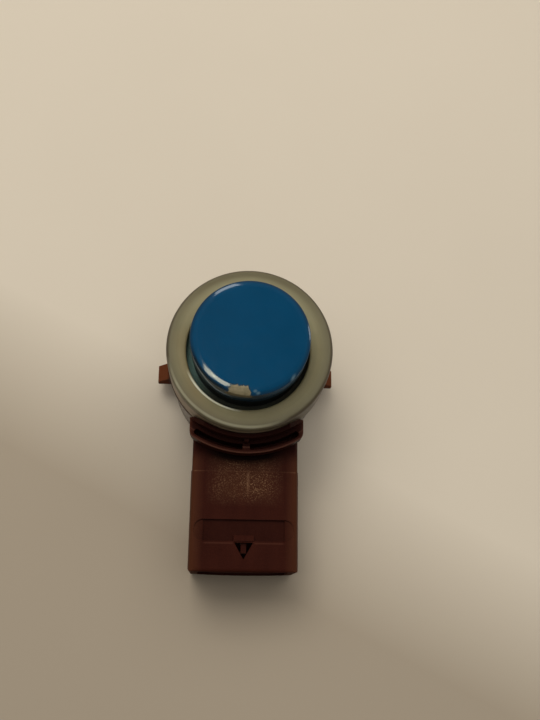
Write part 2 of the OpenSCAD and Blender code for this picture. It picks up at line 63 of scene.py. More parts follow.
# Lamps: name, direction of one end, direction of the other end, width in metres, radiance, colour
ROOM_LAMPS = (
    ("key", (-0.42, 0.44, 0.8), (0.0, 0.44, 0.9), 0.24, 5.6, WARM),
    ("ceiling", (-0.8, 0.3, 0.75), (0.8, 0.3, 0.75), 0.5, 1.35, WARM),
)
GLINT_LAMPS = (
    ("left_glint", (-0.23, 0.07, 0.97), (-0.49, -0.18, 0.853), 0.07, 9.0, CREAM),
    ("front_left_glint", (-0.08, 0.15, 0.985), (-0.31, -0.25, 0.917), 0.085, 9.5, CREAM),
    ("back_left_glint", (-0.175, 0.71, 0.67), (-0.27, 0.876, 0.355), 0.13, 5.0, COOL),
    ("right_glint", (0.776, 0.374, 0.506), (0.88, 0.39, 0.2), 0.1, 4.0, COOL),
)

# Brightness of the room, from the horizon at 0 to straight above at 1
ROOM_LEVELS = ((0.0, 0.22), (0.35, 0.3), (0.5, 0.17), (0.75, 0.13), (0.92, 0.06))

# Half the floor's width, in metres
FLOOR_HALF = 1.2

# Sizes of the cup, in millimetres, as the CAD has them
CUP_R = 8.0
CUP_BODY_R = 7.8
CUP_IN_R = 6.6
FOOT_R = 8.7
CUP_FOOT_Z = 14.0
FOOT_TOP_Z = 15.2
FOOT_EDGE_R = 0.12
BAND_Z = 19.7
BAND_EDGE_R = 0.06
FACE_Z = 23.0
LAND_Z = 20.2
POCKET_FLOOR_Z = 22.2
POCKET_W = 9.0

# The shoulder of the cup's face and its outer corner: radii in millimetres, angles in degrees
SHOULDER_R = 2.2
SHOULDER_TILT = 30.0
SHOULDER_START = 4.0
CORNER_R = 0.15

# Sizes of the silicone ring, in millimetres, as the CAD has them
RING_R = 11.45
RING_BORE_R = 8.6
RIM_Z = 12.2
RING_FACE_Z = 18.5
GAP_FLOOR_Z = 16.2
GAP_EDGE_R = 0.15
LIP_Z = 13.2
LIP_IN_R = CUP_BODY_R - 0.8
SPIGOT_IN_R = 9.68
SPIGOT_R = 10.53
SPIGOT_TOP_Z = 15.2
CLEAR = 0.02

# What the scene changes on the ring, in millimetres: rounded outside, worn lip, both moved a little
RING_EDGE_R = 0.8
RING_EDGE_SHIFT = 0.1
RING_LIP_R = 8.45
RING_LIP_EDGE_R = 0.32
RING_LIP_SHIFT = (-0.15, -0.4)

# Facets round the turned pieces, and the angle in degrees below which faces are shaded as one
CUP_FACETS = 192
RING_FACETS = 224
SMOOTH_ANGLE = 35

# Broken edges of the housing: width in millimetres, steps, and the angles in degrees that count
BEVEL_W = 0.09
BEVEL_STEPS = 3
BEVEL_ANGLE = 32
FLAT_ANGLE = 0.6
WELD = 0.0005

# The flake that has come off the paint: four straight sides, each as a share of X, of the way down
# from the axis over the edge, and a reach in millimetres, all counted inwards
FLAKE = (
    (0.95, 0.30, 0.22),
    (-0.97, 0.24, -1.77),
    (0.20, 0.98, -6.43),
    (-0.18, -0.98, 8.87),
)

# Scuffs in the paint: place in X, place down the edge from the axis, reach
SCUFFS = (
    (0.72, 7.5, 0.34),
    (1.12, 7.9, 0.36),
    (5.63, 8.04, 0.42),
)

# Bands of the housing, in millimetres: where each starts, is full, stops being full, and ends
CONNECTOR_TOP_Z = (10.6, 10.8, 11.1, 11.2)
COLLAR_OUTER_R = (13.6, 13.76, 13.9, 13.95)
COLLAR_INNER_R = (12.9, 12.98, 13.06, 13.14)
BARREL_R = (10.7, 10.8, 11.1, 11.2)
PATCH_Y = (-20.8, -18.6, -14.0, -12.6)
STREAK_Y = (-19.4, -17.8, -16.2, -15.9)
STREAK_X = (0.15, 0.38, 0.46, 0.7)
MOULD_LINE_Y = (-16.02, -15.92, -15.84, -15.8)
BRIM_Y = (-25.84, -25.74, -25.66, -25.56)
BRIM_SIDE = (1.4, 1.6, 5.2, 5.6)
RECESS_Z = (9.2, 9.4, 10.6, 10.8)
RECESS_Y = (-25.7, -25.6, -21.3, -21.2)
SOCKET_Y = (-29.3, -29.2, -25.7, -25.6)

# Bands of the cup and of the ring, counted in the same way
CUP_RIGHT_Z = (20.8, 21.6, 22.4, 22.7)
CUP_LINE_DROP = (-0.4, -0.05, 0.05, 0.4)
RING_CREST_R = (10.9, 11.1, 11.24, 11.34)
RING_GROOVE_Z = (16.7, 16.9, 17.4, 17.6)
# Band of the painted highlight on the ring's inner lip
RING_HIGHLIGHT_R = (8.84, 8.92, 9.12, 9.24)


def srgb(r, g, b):
    """A colour given as 0-255 screen values, as linear values."""
    out = []
    for value in (r, g, b):
        value = value / 255.0
        out.append(value / 12.92 if value <= 0.04045 else ((value + 0.055) / 1.055) ** 2.4)
    return tuple(out)


PLASTIC = {
    "dark": srgb(41, 14, 8),
    "light": srgb(48, 18, 11),
    "flow": srgb(58, 24, 14),
    "grain": srgb(74, 36, 22),
    # Painted light on the connector's rounded edges
    "connector_edge_light": srgb(86, 50, 30),
    "lug": srgb(112, 62, 36),
    # Painted shade in the collar and in the connector's hollows
    "painted_shade": srgb(22, 6, 4),
    # Painted light on the collar's corners
    "collar_corner_light": srgb(136, 82, 62),
    # Painted highlight along the collar's edges
    "collar_edge_highlight": srgb(112, 74, 58),
    # Painted highlight and glints where a lamp is mirrored on the connector
    "glint_patch": srgb(78, 48, 28),
    "painted_glints": srgb(142, 108, 78),
    "streak": srgb(128, 94, 68),
    # Painted highlight on the mould line's step
    "mould_line_highlight": srgb(120, 84, 60),
    # Painted highlight on the recess's brim
    "brim_highlight": srgb(92, 56, 42),
    # Painted shade inside the socket
    "socket": srgb(34, 11, 7),
    # Painted shadow under the collar
    "collar_shadow": srgb(6, 2, 2),
}

PAINT = {
    "dark": srgb(0, 57, 88),
    "light": srgb(1, 62, 95),
    "dust": srgb(60, 96, 116),
    # Painted shade on the cup's wall and corner
    "wall": srgb(2, 16, 24),
    # Painted light on the wall at the right
    "wall_right_light": srgb(2, 104, 152),
    # Painted shade on the corner at the left
    "wall_left_shade": srgb(5, 18, 22),
    # Painted reflection of the ring's lip in the wall
    "line": srgb(206, 228, 240),
    "scuff": srgb(92, 118, 128),
    "flake_rim": srgb(34, 48, 52),
    "primer_dark": srgb(94, 85, 58),
    "primer_light": srgb(120, 108, 81),
}

SILICONE = {
    "dark": srgb(124, 117, 87),
    "light": srgb(136, 129, 98),
    "warm": srgb(136, 114, 78),
    "outer": srgb(100, 95, 76),
    "turned": srgb(108, 101, 76),
    "lint": srgb(168, 164, 146),
    # Painted shade on the outer rounding
    "outline": srgb(62, 50, 34),
    # Painted shade at the back
    "back": srgb(84, 76, 54),
    "near_cup": srgb(158, 158, 130),
    # Painted highlight on the crest at the front left
    "crest_highlight": srgb(168, 164, 138),
    # Painted sheen on the skirt at the front left
    "skirt": srgb(148, 128, 104),
    "groove": srgb(60, 54, 40),
    # Painted bounce light and painted shade in the gap round the cup
    "gap_bounce_back": srgb(84, 116, 110),
    "gap_shade_front": srgb(14, 26, 26),
    "gap_shade_right": srgb(5, 10, 11),
    # Painted highlight on the inner lip
    "edge_highlight": srgb(226, 226, 202),
}

FLOOR = {
    "dark": srgb(204, 193, 175),
    "light": srgb(208, 197, 179),
    # Painted shadow toward the front left
    "front_left": srgb(144, 130, 111),
}

# Plain materials of the inner pieces: darker and lighter colour, roughness, and what else differs
PLAIN = {
    "piezo_ceramic": (srgb(170, 160, 132), srgb(198, 190, 164), 0.35, {"metallic": 0.3}),
    "pad_rubber": (srgb(26, 26, 28), srgb(42, 42, 44), 0.7, {}),
    "fill_silicone": (srgb(176, 174, 164), srgb(200, 198, 188), 0.45, {}),
    "carrier_plastic": (srgb(14, 14, 14), srgb(24, 24, 24), 0.5, {}),
    "pin_metal": (srgb(186, 152, 84), srgb(214, 182, 112), 0.25, {"metallic": 1.0}),
    "chip_plastic": (srgb(14, 14, 15), srgb(26, 26, 27), 0.55, {}),
    "ferrite": (srgb(30, 30, 32), srgb(46, 46, 48), 0.5, {}),
    "capacitor_ceramic": (srgb(116, 94, 66), srgb(142, 118, 88), 0.35, {"coat": 0.2}),
    "terminal_metal": (srgb(116, 110, 98), srgb(150, 143, 130), 0.34, {"metallic": 1.0, "scale": 1500.0}),
}

# The material of each CAD piece that is shown as it is
LOOKS = {
    "piezo_disc": "piezo_ceramic",
    "signal_lead": "copper",
    "ground_lead": "copper",
    "damping_pad": "pad_rubber",
    "cup_fill": "fill_silicone",
    "foam_disc": "foam",
    "contact_carrier": "carrier_plastic",
    "signal_pin": "pin_metal",
    "ground_pin": "pin_metal",
    "circuit_board": "board_laminate",
    "driver_chip": "chip_plastic",
    "transformer_base": "chip_plastic",
    "transformer_core": "ferrite",
    "transformer_winding": "winding_copper",
    "supply_capacitor": "capacitor_ceramic",
    "tuning_capacitor": "capacitor_ceramic",
    "filter_capacitor_1": "capacitor_ceramic",
    "filter_capacitor_2": "capacitor_ceramic",
    "resistor_1": "chip_plastic",
    "resistor_2": "chip_plastic",
    "diode": "chip_plastic",
    "terminal_1": "terminal_metal",
    "terminal_2": "terminal_metal",
    "terminal_3": "terminal_metal",
    "rear_potting": "potting_resin",
}


# Camera
def make_camera():
    data = bpy.data.cameras.new("camera")
    data.sensor_width = SENSOR_W
    data.lens = LENS
    data.clip_start = NEAREST_SEEN
    data.clip_end = FURTHEST_SEEN
    camera = bpy.data.objects.new("camera", data)
    scene.collection.objects.link(camera)
    turn = Matrix.Rotation(math.radians(CAMERA_TURN), 4, "Z")
    tilt = Matrix.Rotation(math.radians(CAMERA_TILT), 4, "X")
    roll = Matrix.Rotation(math.radians(CAMERA_ROLL), 4, "Z")
    camera.matrix_world = Matrix.Translation(Vector(CAMERA_PLACE) * MM) @ turn @ tilt @ roll
    scene.camera = camera


# Node helpers
def fill_ramp(node, stops):
    """Writes places and colours, or grey levels, into a colour ramp."""
    elements = node.color_ramp.elements
    while len(elements) < len(stops):
        elements.new(0.5)
    for element, (place, colour) in zip(elements, stops):
        element.position = place
        if isinstance(colour, (int, float)):
            colour = (colour, colour, colour)
        element.color = (*colour, 1.0)


class Mat:
    """A node material with short calls for the nodes it needs."""

    def __init__(self, name):
        self.mat = bpy.data.materials.new(name)
        self.mat.use_nodes = True
        self.nodes = self.mat.node_tree.nodes
        self.links = self.mat.node_tree.links
        self.bsdf = self.nodes["Principled BSDF"]
        self.coords = self.nodes.new("ShaderNodeTexCoord").outputs["Object"]

    def feed(self, target, value):
        """A number or a colour is written into the input; anything else is linked to it."""
        if isinstance(value, (int, float)):
            target.default_value = value
        elif isinstance(value, tuple):
            target.default_value = (*value, 1.0)
        else:
            self.links.new(value, target)

    def put(self, **values):
        """Feeds the shader's inputs, which are named with underscores for spaces."""
        for name, value in values.items():
            self.feed(self.bsdf.inputs[name.replace("_", " ")], value)

    def stretched(self, scale):
        node = self.nodes.new("ShaderNodeMapping")
        node.inputs["Scale"].default_value = scale
        self.feed(node.inputs["Vector"], self.coords)
        return node.outputs["Vector"]

    def split(self):
        node = self.nodes.new("ShaderNodeSeparateXYZ")
        self.feed(node.inputs[0], self.coords)
        return node.outputs["X"], node.outputs["Y"], node.outputs["Z"]

    def join(self, x, z):
        node = self.nodes.new("ShaderNodeCombineXYZ")
        self.feed(node.inputs["X"], x)
        self.feed(node.inputs["Z"], z)
        return node.outputs["Vector"]

    def noise(self, scale, detail, rough, vector=None):
        node = self.nodes.new("ShaderNodeTexNoise")
        node.inputs["Scale"].default_value = scale
        node.inputs["Detail"].default_value = detail
        node.inputs["Roughness"].default_value = rough
        self.feed(node.inputs["Vector"], vector or self.coords)
        return node.outputs["Fac"]

    def voronoi(self, scale):
        node = self.nodes.new("ShaderNodeTexVoronoi")
        node.inputs["Scale"].default_value = scale
        self.feed(node.inputs["Vector"], self.coords)
        return node.outputs["Distance"]

    def ramp(self, value, stops):
        node = self.nodes.new("ShaderNodeValToRGB")
        fill_ramp(node, stops)
        self.feed(node.inputs["Fac"], value)
        return node.outputs["Color"]

    def remap(self, value, low, high, out_low, out_high):
        node = self.nodes.new("ShaderNodeMapRange")
        node.inputs["From Min"].default_value = low
        node.inputs["From Max"].default_value = high
        node.inputs["To Min"].default_value = out_low
        node.inputs["To Max"].default_value = out_high
        self.feed(node.inputs["Value"], value)
        return node.outputs["Result"]

    def fade(self, value, start, full, low=0.0, high=1.0):
        """Low at start and high at full, both places in millimetres."""
        return self.remap(value, start * MM, full * MM, low, high)

    def sweep(self, turn, start, full, low=0.0, high=1.0):
        """Low at start and high at full, both angles in degrees."""
        return self.remap(turn, math.radians(start), math.radians(full), low, high)

    def band(self, value, start, full, end_full, end):
        """1 between full and end_full, and 0 outside start and end; all in millimetres."""
        return self.times(self.fade(value, start, full), self.fade(value, end_full, end, 1.0, 0.0))

    def math(self, kind, a, b=None):
        node = self.nodes.new("ShaderNodeMath")
        node.operation = kind
        self.feed(node.inputs[0], a)
        if b is not None:
            self.feed(node.inputs[1], b)
        return node.outputs["Value"]

    def times(self, product, *others):
        for other in others:
            product = self.math("MULTIPLY", product, other)
        return product

    def length(self, a, b):
        return self.math("SQRT", self.math("ADD", self.times(a, a), self.times(b, b)))

    def mix(self, factor, a, b):
        node = self.nodes.new("ShaderNodeMix")
        node.data_type = "RGBA"
        for index, value in ((0, factor), (6, a), (7, b)):
            self.feed(node.inputs[index], value)
        return node.outputs[2]

    def tint(self, base, colour, *masks):
        """The colour laid over the base as far as the product of the masks says."""
        return self.mix(self.times(*masks), base, colour)

    def mottle(self, value, dark, light, low=0.3, high=0.7):
        """Dark where the value is low and light where it is high."""
        return self.mix(self.ramp(value, [(low, 0.0), (high, 1.0)]), dark, light)

    def uneven(self, scale, detail, rough, low, high):
        """A noise that runs from low to high."""
        return self.remap(self.noise(scale, detail, rough), 0.3, 0.7, low, high)

    def bump(self, height, strength, distance, normal=None):
        """A bump whose distance is in millimetres, over another one if it is given."""
        node = self.nodes.new("ShaderNodeBump")
        node.inputs["Strength"].default_value = strength
        node.inputs["Distance"].default_value = distance * MM
        self.feed(node.inputs["Height"], height)
        if normal is not None:
            self.feed(node.inputs["Normal"], normal)
        return node.outputs["Normal"]


def housing_material():
    """Glass-filled plastic, with the marks that the photo shows on it, many of them painted light and
    shade.
    """
    m = Mat("housing_plastic")
    x, y, z = m.split()
    side = m.math("ABSOLUTE", x)
    radius = m.length(x, y)
    top = m.band(z, *CONNECTOR_TOP_Z)
    flow = m.noise(420.0, 3.0, 0.6, vector=m.stretched((1.6, 0.35, 1.0)))
    grain = m.noise(6200.0, 3.0, 0.7)
    base = m.mottle(m.noise(140.0, 4.0, 0.6), PLASTIC["dark"], PLASTIC["light"])
    base = m.tint(base, PLASTIC["flow"], m.remap(flow, 0.35, 0.75, 0.0, 0.35))
    base = m.tint(base, PLASTIC["grain"], m.remap(grain, 0.5, 0.8, 0.0, 0.4))

    # Painted light on the rounded long edges of the connector, and lighter ends of the lugs
    past_collar = m.fade(y, -13.0, -14.5)
    base = m.tint(base, PLASTIC["connector_edge_light"], m.fade(side, 5.6, 7.4), past_collar, 0.5)
    lug_end = m.fade(side, 11.4, 11.9, 0.0, 0.6)
    base = m.tint(base, PLASTIC["lug"], lug_end, m.fade(z, 6.0, 5.5))

    # The collar: painted shade between its slots, painted light at its corners, and painted highlights
    # along its edges
    middle = m.fade(side, 8.3, 9.1, 1.0, 0.0)
    within = m.fade(radius, 12.9, 13.0, 1.0, 0.25)
    collar = m.times(m.fade(z, 12.0, 12.3, 0.0, 0.55), m.fade(y, -9.0, -10.5), middle, within)
    base = m.tint(base, PLASTIC["painted_shade"], collar)
    corner = m.times(m.fade(side, 7.4, 9.0, 0.0, 0.6), m.fade(z, 12.0, 12.1), m.fade(y, -8.9, -9.1))
    base = m.tint(base, PLASTIC["collar_corner_light"], corner)
    edges = m.math("MAXIMUM", m.band(radius, *COLLAR_OUTER_R), m.band(radius, *COLLAR_INNER_R))
    edge_highlight = m.times(edges, m.fade(z, 13.8, 13.9, 0.0, 0.28), m.fade(y, -9.0, -9.2))
    base = m.tint(base, PLASTIC["collar_edge_highlight"], edge_highlight)

    # Painted highlight on the connector: speckled glints where a lamp is mirrored, with a light streak in
    # it
    glint_patch = m.times(m.band(y, *PATCH_Y), m.fade(side, 2.4, 5.6, 1.0, 0.0), top)
    base = m.tint(base, PLASTIC["glint_patch"], glint_patch, 0.3)
    speck = m.remap(m.noise(7000.0, 1.0, 0.8), 0.52, 0.7, 0.0, 0.62)
    cluster = m.remap(m.noise(520.0, 2.0, 0.6), 0.35, 0.65, 0.3, 1.0)
    painted_glints = m.times(speck, glint_patch, cluster)
    base = m.tint(base, PLASTIC["painted_glints"], painted_glints)
    streak = m.times(m.band(y, *STREAK_Y), m.band(x, *STREAK_X), top)
    base = m.tint(base, PLASTIC["streak"], streak, 0.3)

    # Painted highlight along the mould line's step across the connector, clearer toward its ends
    line = m.times(m.band(y, *MOULD_LINE_Y), m.fade(side, 5.2, 7.2, 0.25, 1.0), top)
    base = m.tint(base, PLASTIC["mould_line_highlight"], line, m.remap(flow, 0.35, 0.65, 0.12, 0.5))

    # Painted light and shade: a painted highlight on the recess's light brim, painted shade in the recess
    # and on the wall over the socket, and a painted shadow on the strip under the collar
    base = m.tint(base, PLASTIC["brim_highlight"], m.band(y, *BRIM_Y), m.band(side, *BRIM_SIDE), top, 0.25)
    sunk = m.times(m.band(z, *RECESS_Z), m.fade(side, 6.6, 6.9, 1.0, 0.0), m.band(y, *RECESS_Y))
    base = m.tint(base, PLASTIC["painted_shade"], sunk, 0.35)
    inside = m.times(m.band(y, *SOCKET_Y), m.fade(z, 10.5, 10.3), m.fade(side, 6.2, 6.4, 1.0, 0.0))
    base = m.tint(base, PLASTIC["socket"], inside, 0.8)
    shadow_mask = m.times(m.fade(radius, 14.2, 14.9, 0.9, 0.0), top, m.fade(y, -11.2, -11.4))
    base = m.tint(base, PLASTIC["collar_shadow"], shadow_mask, m.fade(side, 3.2, 6.0, 1.0, 0.2))

    # The barrel is glossier, the socket's end and the ends of the lugs are duller
    barrel = m.times(m.band(radius, *BARREL_R), m.fade(z, 10.8, 10.6, 0.0, 0.6))
    end = m.math("MAXIMUM", m.fade(y, -29.2, -29.4, 0.0, 0.45), m.fade(side, 11.4, 11.9, 0.0, 0.45))
    grained = m.bump(m.math("ADD", grain, painted_glints), 0.45, 0.02)
    m.put(
        Base_Color=base,
        Roughness=m.math("ADD", m.uneven(900.0, 5.0, 0.7, 0.34, 0.46), end),
        Specular_IOR_Level=0.07,
        Coat_Weight=barrel,
        Coat_Roughness=0.12,
        Normal=m.bump(m.noise(260.0, 2.0, 0.5), 0.35, 0.06, grained),
    )
    return m.mat


def flake_mask(m, x, down):
    """How far a point is inside the place where the paint has come off, in metres."""
    ragged = m.times(m.math("SUBTRACT", m.noise(1900.0, 3.0, 0.6), 0.5), 0.75 * MM)
    fine = m.times(m.math("SUBTRACT", m.noise(5200.0, 2.0, 0.6), 0.5), 0.3 * MM)
    least = None
    for across, along, reach in FLAKE:
        total = m.math("ADD", m.times(x, across), m.times(down, along))
        inside = m.math("ADD", total, reach * MM)
        least = inside if least is None else m.math("MINIMUM", least, inside)
    return m.math("ADD", least, m.math("ADD", ragged, fine))


def scuff_mask(m, x, down):
    """1 in the middle of the small scuffs on the cup's edge."""
    most = None
    for across, along, reach in SCUFFS:
        away = m.length(m.math("SUBTRACT", x, across * MM), m.math("SUBTRACT", down, along * MM))
        spot = m.fade(away, reach, 0.3 * reach)
        most = spot if most is None else m.math("MAXIMUM", most, spot)
    return most


def cup_material():
    """Glossy blue paint with a large flake off it, down to the primer."""
    m = Mat("cup_paint")
    x, y, z = m.split()
    radius = m.length(x, y)
    turn = m.math("ARCTAN2", y, x)
    down = m.math("ADD", radius, m.math("SUBTRACT", FACE_Z * MM, z))
    front = m.fade(y, -3.0, -4.0)
    reach = flake_mask(m, x, down)
    bare = m.times(m.fade(reach, -0.03, 0.05), front)
    rim = m.times(m.fade(reach, -0.22, -0.04), front)
    paint = m.mottle(m.noise(160.0, 3.0, 0.6), PAINT["dark"], PAINT["light"])
    dust = m.math("GREATER_THAN", m.noise(2600.0, 2.0, 0.7), 0.73)
    paint = m.tint(paint, PAINT["dust"], dust, 0.15)

    # The wall, in painted light and shade: darker than the face, a painted lit patch at the right, and
    # one light line at the left that is a painted reflection of the ring's lip
    rise = m.sweep(turn, -110, -85, 0.0, 0.9 * MM)
    low = m.fade(m.math("ADD", z, rise), 22.65, 21.9, 0.0, 0.65)
    wall = m.math("MAXIMUM", low, m.fade(radius, 7.45, 7.9, 0.0, 0.5))
    paint = m.tint(paint, PAINT["wall"], wall)
    left = m.times(m.sweep(turn, -170, -155), m.sweep(turn, -118, -105, 1.0, 0.0))
    right = m.times(m.sweep(turn, -80, -55, 0.0, 0.5), m.sweep(turn, -12, 0, 1.0, 0.0))
    paint = m.tint(paint, PAINT["wall_right_light"], right, m.band(z, *CUP_RIGHT_Z))
    shade = m.times(m.fade(radius, 7.62, 7.74, 0.0, 0.8), left, m.fade(z, 21.6, 22.3))
    paint = m.tint(paint, PAINT["wall_left_shade"], shade)
    drop = m.math("SUBTRACT", z, m.sweep(turn, -141, -124, 22.1 * MM, 20.9 * MM))
    paint = m.tint(paint, PAINT["line"], m.band(drop, *CUP_LINE_DROP), left, 0.6)

    # Scuffs, the dark rim of the flake, and the primer in it
    paint = m.tint(paint, PAINT["scuff"], scuff_mask(m, x, down), front, 0.6)
    paint = m.tint(paint, PAINT["flake_rim"], rim, 0.7)
    stain = m.noise(1400.0, 3.0, 0.6)
    primer = m.mottle(stain, PAINT["primer_dark"], PAINT["primer_light"], 0.35, 0.65)
    dull = m.math("MAXIMUM", m.times(bare, 0.45), m.fade(z, 22.78, 22.62, 0.0, 0.2))
    peel = m.bump(m.noise(900.0, 2.0, 0.5), 0.12, 0.05)
    m.put(
        Base_Color=m.mix(bare, paint, primer),
        Roughness=m.math("ADD", m.uneven(700.0, 4.0, 0.6, 0.08, 0.13), dull),
        Specular_IOR_Level=0.5,
        Normal=m.bump(m.math("SUBTRACT", 1.0, bare), 0.6, 0.05, peel),
    )
    return m.mat


def bare_metal_material():
    m = Mat("bare_aluminium")
    drawn = m.noise(2500.0, 2.0, 0.6, vector=m.stretched((0.05, 0.05, 6.0)))
    m.put(
        Base_Color=m.mix(drawn, srgb(44, 50, 52), srgb(84, 90, 92)),
        Roughness=m.remap(drawn, 0.3, 0.7, 0.4, 0.6),
        Metallic=0.9,
        Normal=m.bump(drawn, 0.25, 0.02),
    )
    return m.mat


def ring_material():
    """Satin silicone with turned marks, with a painted highlight at the lip and painted highlight and
    shade at the outer rounding.
    """
    m = Mat("ring_silicone")
    x, y, z = m.split()
    radius = m.length(x, y)
    turn = m.math("ARCTAN2", y, x)
    reach = m.length(m.math("SUBTRACT", x, RING_EDGE_SHIFT * MM), y)
    base = m.mottle(m.noise(170.0, 4.0, 0.6), SILICONE["dark"], SILICONE["light"])
    base = m.tint(base, SILICONE["warm"], m.remap(m.noise(95.0, 2.0, 0.5), 0.5, 0.66, 0.0, 0.4))
    base = m.tint(base, SILICONE["outer"], m.fade(radius, 9.7, 10.9, 0.0, 0.8))
    turned = m.noise(2600.0, 2.0, 0.5, vector=m.join(radius, z))
    base = m.tint(base, SILICONE["turned"], m.remap(turned, 0.35, 0.65, 0.0, 0.25))
    lint = m.math("GREATER_THAN", m.noise(3300.0, 2.0, 0.7), 0.75)
    base = m.tint(base, SILICONE["lint"], lint, 0.25)

    # The outer rounding: painted shade all round but at the front left, a painted highlight on its crest
    # at the front left, and painted shade at the back
    front_left = m.times(m.sweep(turn, -172, -150), m.sweep(turn, -85, -60, 1.0, 0.0))
    elsewhere = m.math("SUBTRACT", 1.0, front_left)
    base = m.tint(base, SILICONE["outline"], m.fade(reach, 10.95, 11.2, 0.0, 0.8), elsewhere)
    base = m.tint(base, SILICONE["back"], m.fade(reach, 9.9, 10.5, 0.0, 0.35), m.fade(y, 5.0, 9.0))
    base = m.tint(base, SILICONE["near_cup"], m.fade(radius, 10.3, 9.6, 0.0, 0.2), m.fade(y, 0.0, 5.0))
    base = m.tint(base, SILICONE["crest_highlight"], m.band(reach, *RING_CREST_R), front_left, 0.75)

    # The outer wall: a painted sheen on the skirt at the front left, and a dark line all round above it
    wall = m.fade(reach, 11.38, 11.43)
    base = m.tint(base, SILICONE["skirt"], wall, m.fade(z, 17.0, 16.7, 0.0, 0.75), front_left)
    base = m.tint(base, SILICONE["groove"], wall, m.band(z, *RING_GROOVE_Z), 0.6)

    # The gap round the cup: green painted bounce light at the back, and painted shade, nearly black, at
    # the front and at the right
    inside = m.times(m.fade(z, 18.3, 18.0), m.fade(radius, 9.8, 9.6))
    gap = m.mix(m.fade(y, -3.0, -6.5), SILICONE["gap_bounce_back"], SILICONE["gap_shade_front"])
    gap = m.tint(gap, SILICONE["gap_shade_right"], m.fade(x, 2.0, 5.0))
    base = m.tint(base, gap, inside, 0.9)

    # The painted highlight arc on the inner lip
    arc_turn = m.times(m.sweep(turn, -158, -142), m.sweep(turn, -108, -94, 1.0, 0.0))
    lip = m.times(m.band(radius, *RING_HIGHLIGHT_R), m.fade(z, 18.1, 18.2))
    base = m.tint(base, SILICONE["edge_highlight"], lip, arc_turn, 0.95)
    m.put(
        Base_Color=base,
        Roughness=m.uneven(800.0, 4.0, 0.6, 0.38, 0.5),
        Specular_IOR_Level=0.45,
        Subsurface_Weight=0.35,
        Subsurface_Scale=0.5 * MM,
        Normal=m.bump(turned, 0.3, 0.02, m.bump(m.noise(3800.0, 3.0, 0.6), 0.2, 0.015)),
    )
    m.bsdf.inputs["Subsurface Radius"].default_value = (1.0, 0.9, 0.7)
    return m.mat


def plain_material(name, dark, light, rough, metallic=0.0, scale=700.0, coat=0.0):
    m = Mat(name)
    m.put(
        Base_Color=m.mottle(m.noise(scale, 4.0, 0.6), dark, light),
        Roughness=m.uneven(scale * 2.3, 3.0, 0.6, rough - 0.06, rough + 0.06),
        Metallic=metallic,
        Coat_Weight=coat,
        Normal=m.bump(m.noise(scale * 5.0, 3.0, 0.6), 0.2, 0.02),
    )
    return m.mat


def wire_material():
    m = Mat("copper")
    drawn = m.noise(400.0, 2.0, 0.5, vector=m.stretched((1.0, 1.0, 9.0)))
    m.put(
        Base_Color=m.mix(drawn, srgb(150, 78, 44), srgb(196, 116, 72)),
        Roughness=m.uneven(2200.0, 3.0, 0.6, 0.22, 0.36),
        Metallic=1.0,
    )
    return m.mat


def winding_material():
    m = Mat("winding_copper")
    wave = m.nodes.new("ShaderNodeTexWave")
    wave.bands_direction = "Z"
    wave.inputs["Scale"].default_value = 2600.0
    wave.inputs["Distortion"].default_value = 0.3
    m.feed(wave.inputs["Vector"], m.coords)
    turns = wave.outputs["Fac"]
    m.put(
        Base_Color=m.mix(turns, srgb(96, 44, 22), srgb(190, 110, 66)),
        Roughness=0.3,
        Metallic=0.9,
        Normal=m.bump(turns, 0.7, 0.06),
    )
    return m.mat


def board_material():
    m = Mat("board_laminate")
    weave = m.voronoi(1500.0)
    base = m.mottle(m.noise(500.0, 4.0, 0.6), srgb(14, 58, 34), srgb(22, 78, 46))
    m.put(
        Base_Color=m.tint(base, srgb(60, 110, 70), m.remap(weave, 0.0, 0.5, 0.15, 0.0)),
        Roughness=0.32,
        Coat_Weight=0.3,
        Normal=m.bump(weave, 0.15, 0.02),
    )
    return m.mat


def foam_material():
    m = Mat("foam")
    cells = m.voronoi(2600.0)
    m.put(
        Base_Color=m.ramp(cells, [(0.1, srgb(14, 14, 15)), (0.6, srgb(44, 44, 46))]),
        Roughness=0.95,
        Normal=m.bump(cells, 0.9, 0.12),
    )
    return m.mat


def resin_material():
    m = Mat("potting_resin")
    cloud = m.noise(260.0, 3.0, 0.6)
    pits = m.ramp(m.voronoi(900.0), [(0.03, 0.0), (0.10, 1.0)])
    m.put(
        Base_Color=m.mottle(cloud, srgb(20, 20, 21), srgb(34, 33, 32)),
        Roughness=m.uneven(600.0, 4.0, 0.6, 0.24, 0.42),
        Normal=m.bump(pits, 0.4, 0.06, m.bump(cloud, 0.4, 0.12)),
    )
    return m.mat


# Mesh helpers
def new_object(name, verts, faces, material):
    mesh = bpy.data.meshes.new(name)
    mesh.from_pydata([tuple(c * MM for c in v) for v in verts], [], faces)
    mesh.update()
    obj = bpy.data.objects.new(name, mesh)
    scene.collection.objects.link(obj)
    if material is not None:
        mesh.materials.append(material)
    return obj


def smooth_by_angle(obj):
    mesh = obj.data
    for face in mesh.polygons:
        face.use_smooth = True
    limit = math.radians(SMOOTH_ANGLE)
    bm = bmesh.new()
    bm.from_mesh(mesh)
    for edge in bm.edges:
        edge.smooth = len(edge.link_faces) == 2 and edge.calc_face_angle(0.0) < limit
    bm.to_mesh(mesh)
    bm.free()


def arc(cx, cz, radius, start, end, steps):
    """Points of an arc in the (r, z) plane, angles in degrees."""
    out = []
    for i in range(steps + 1):
        angle = math.radians(start + (end - start) * i / steps)
        out.append((cx + radius * math.cos(angle), cz + radius * math.sin(angle)))
    return out


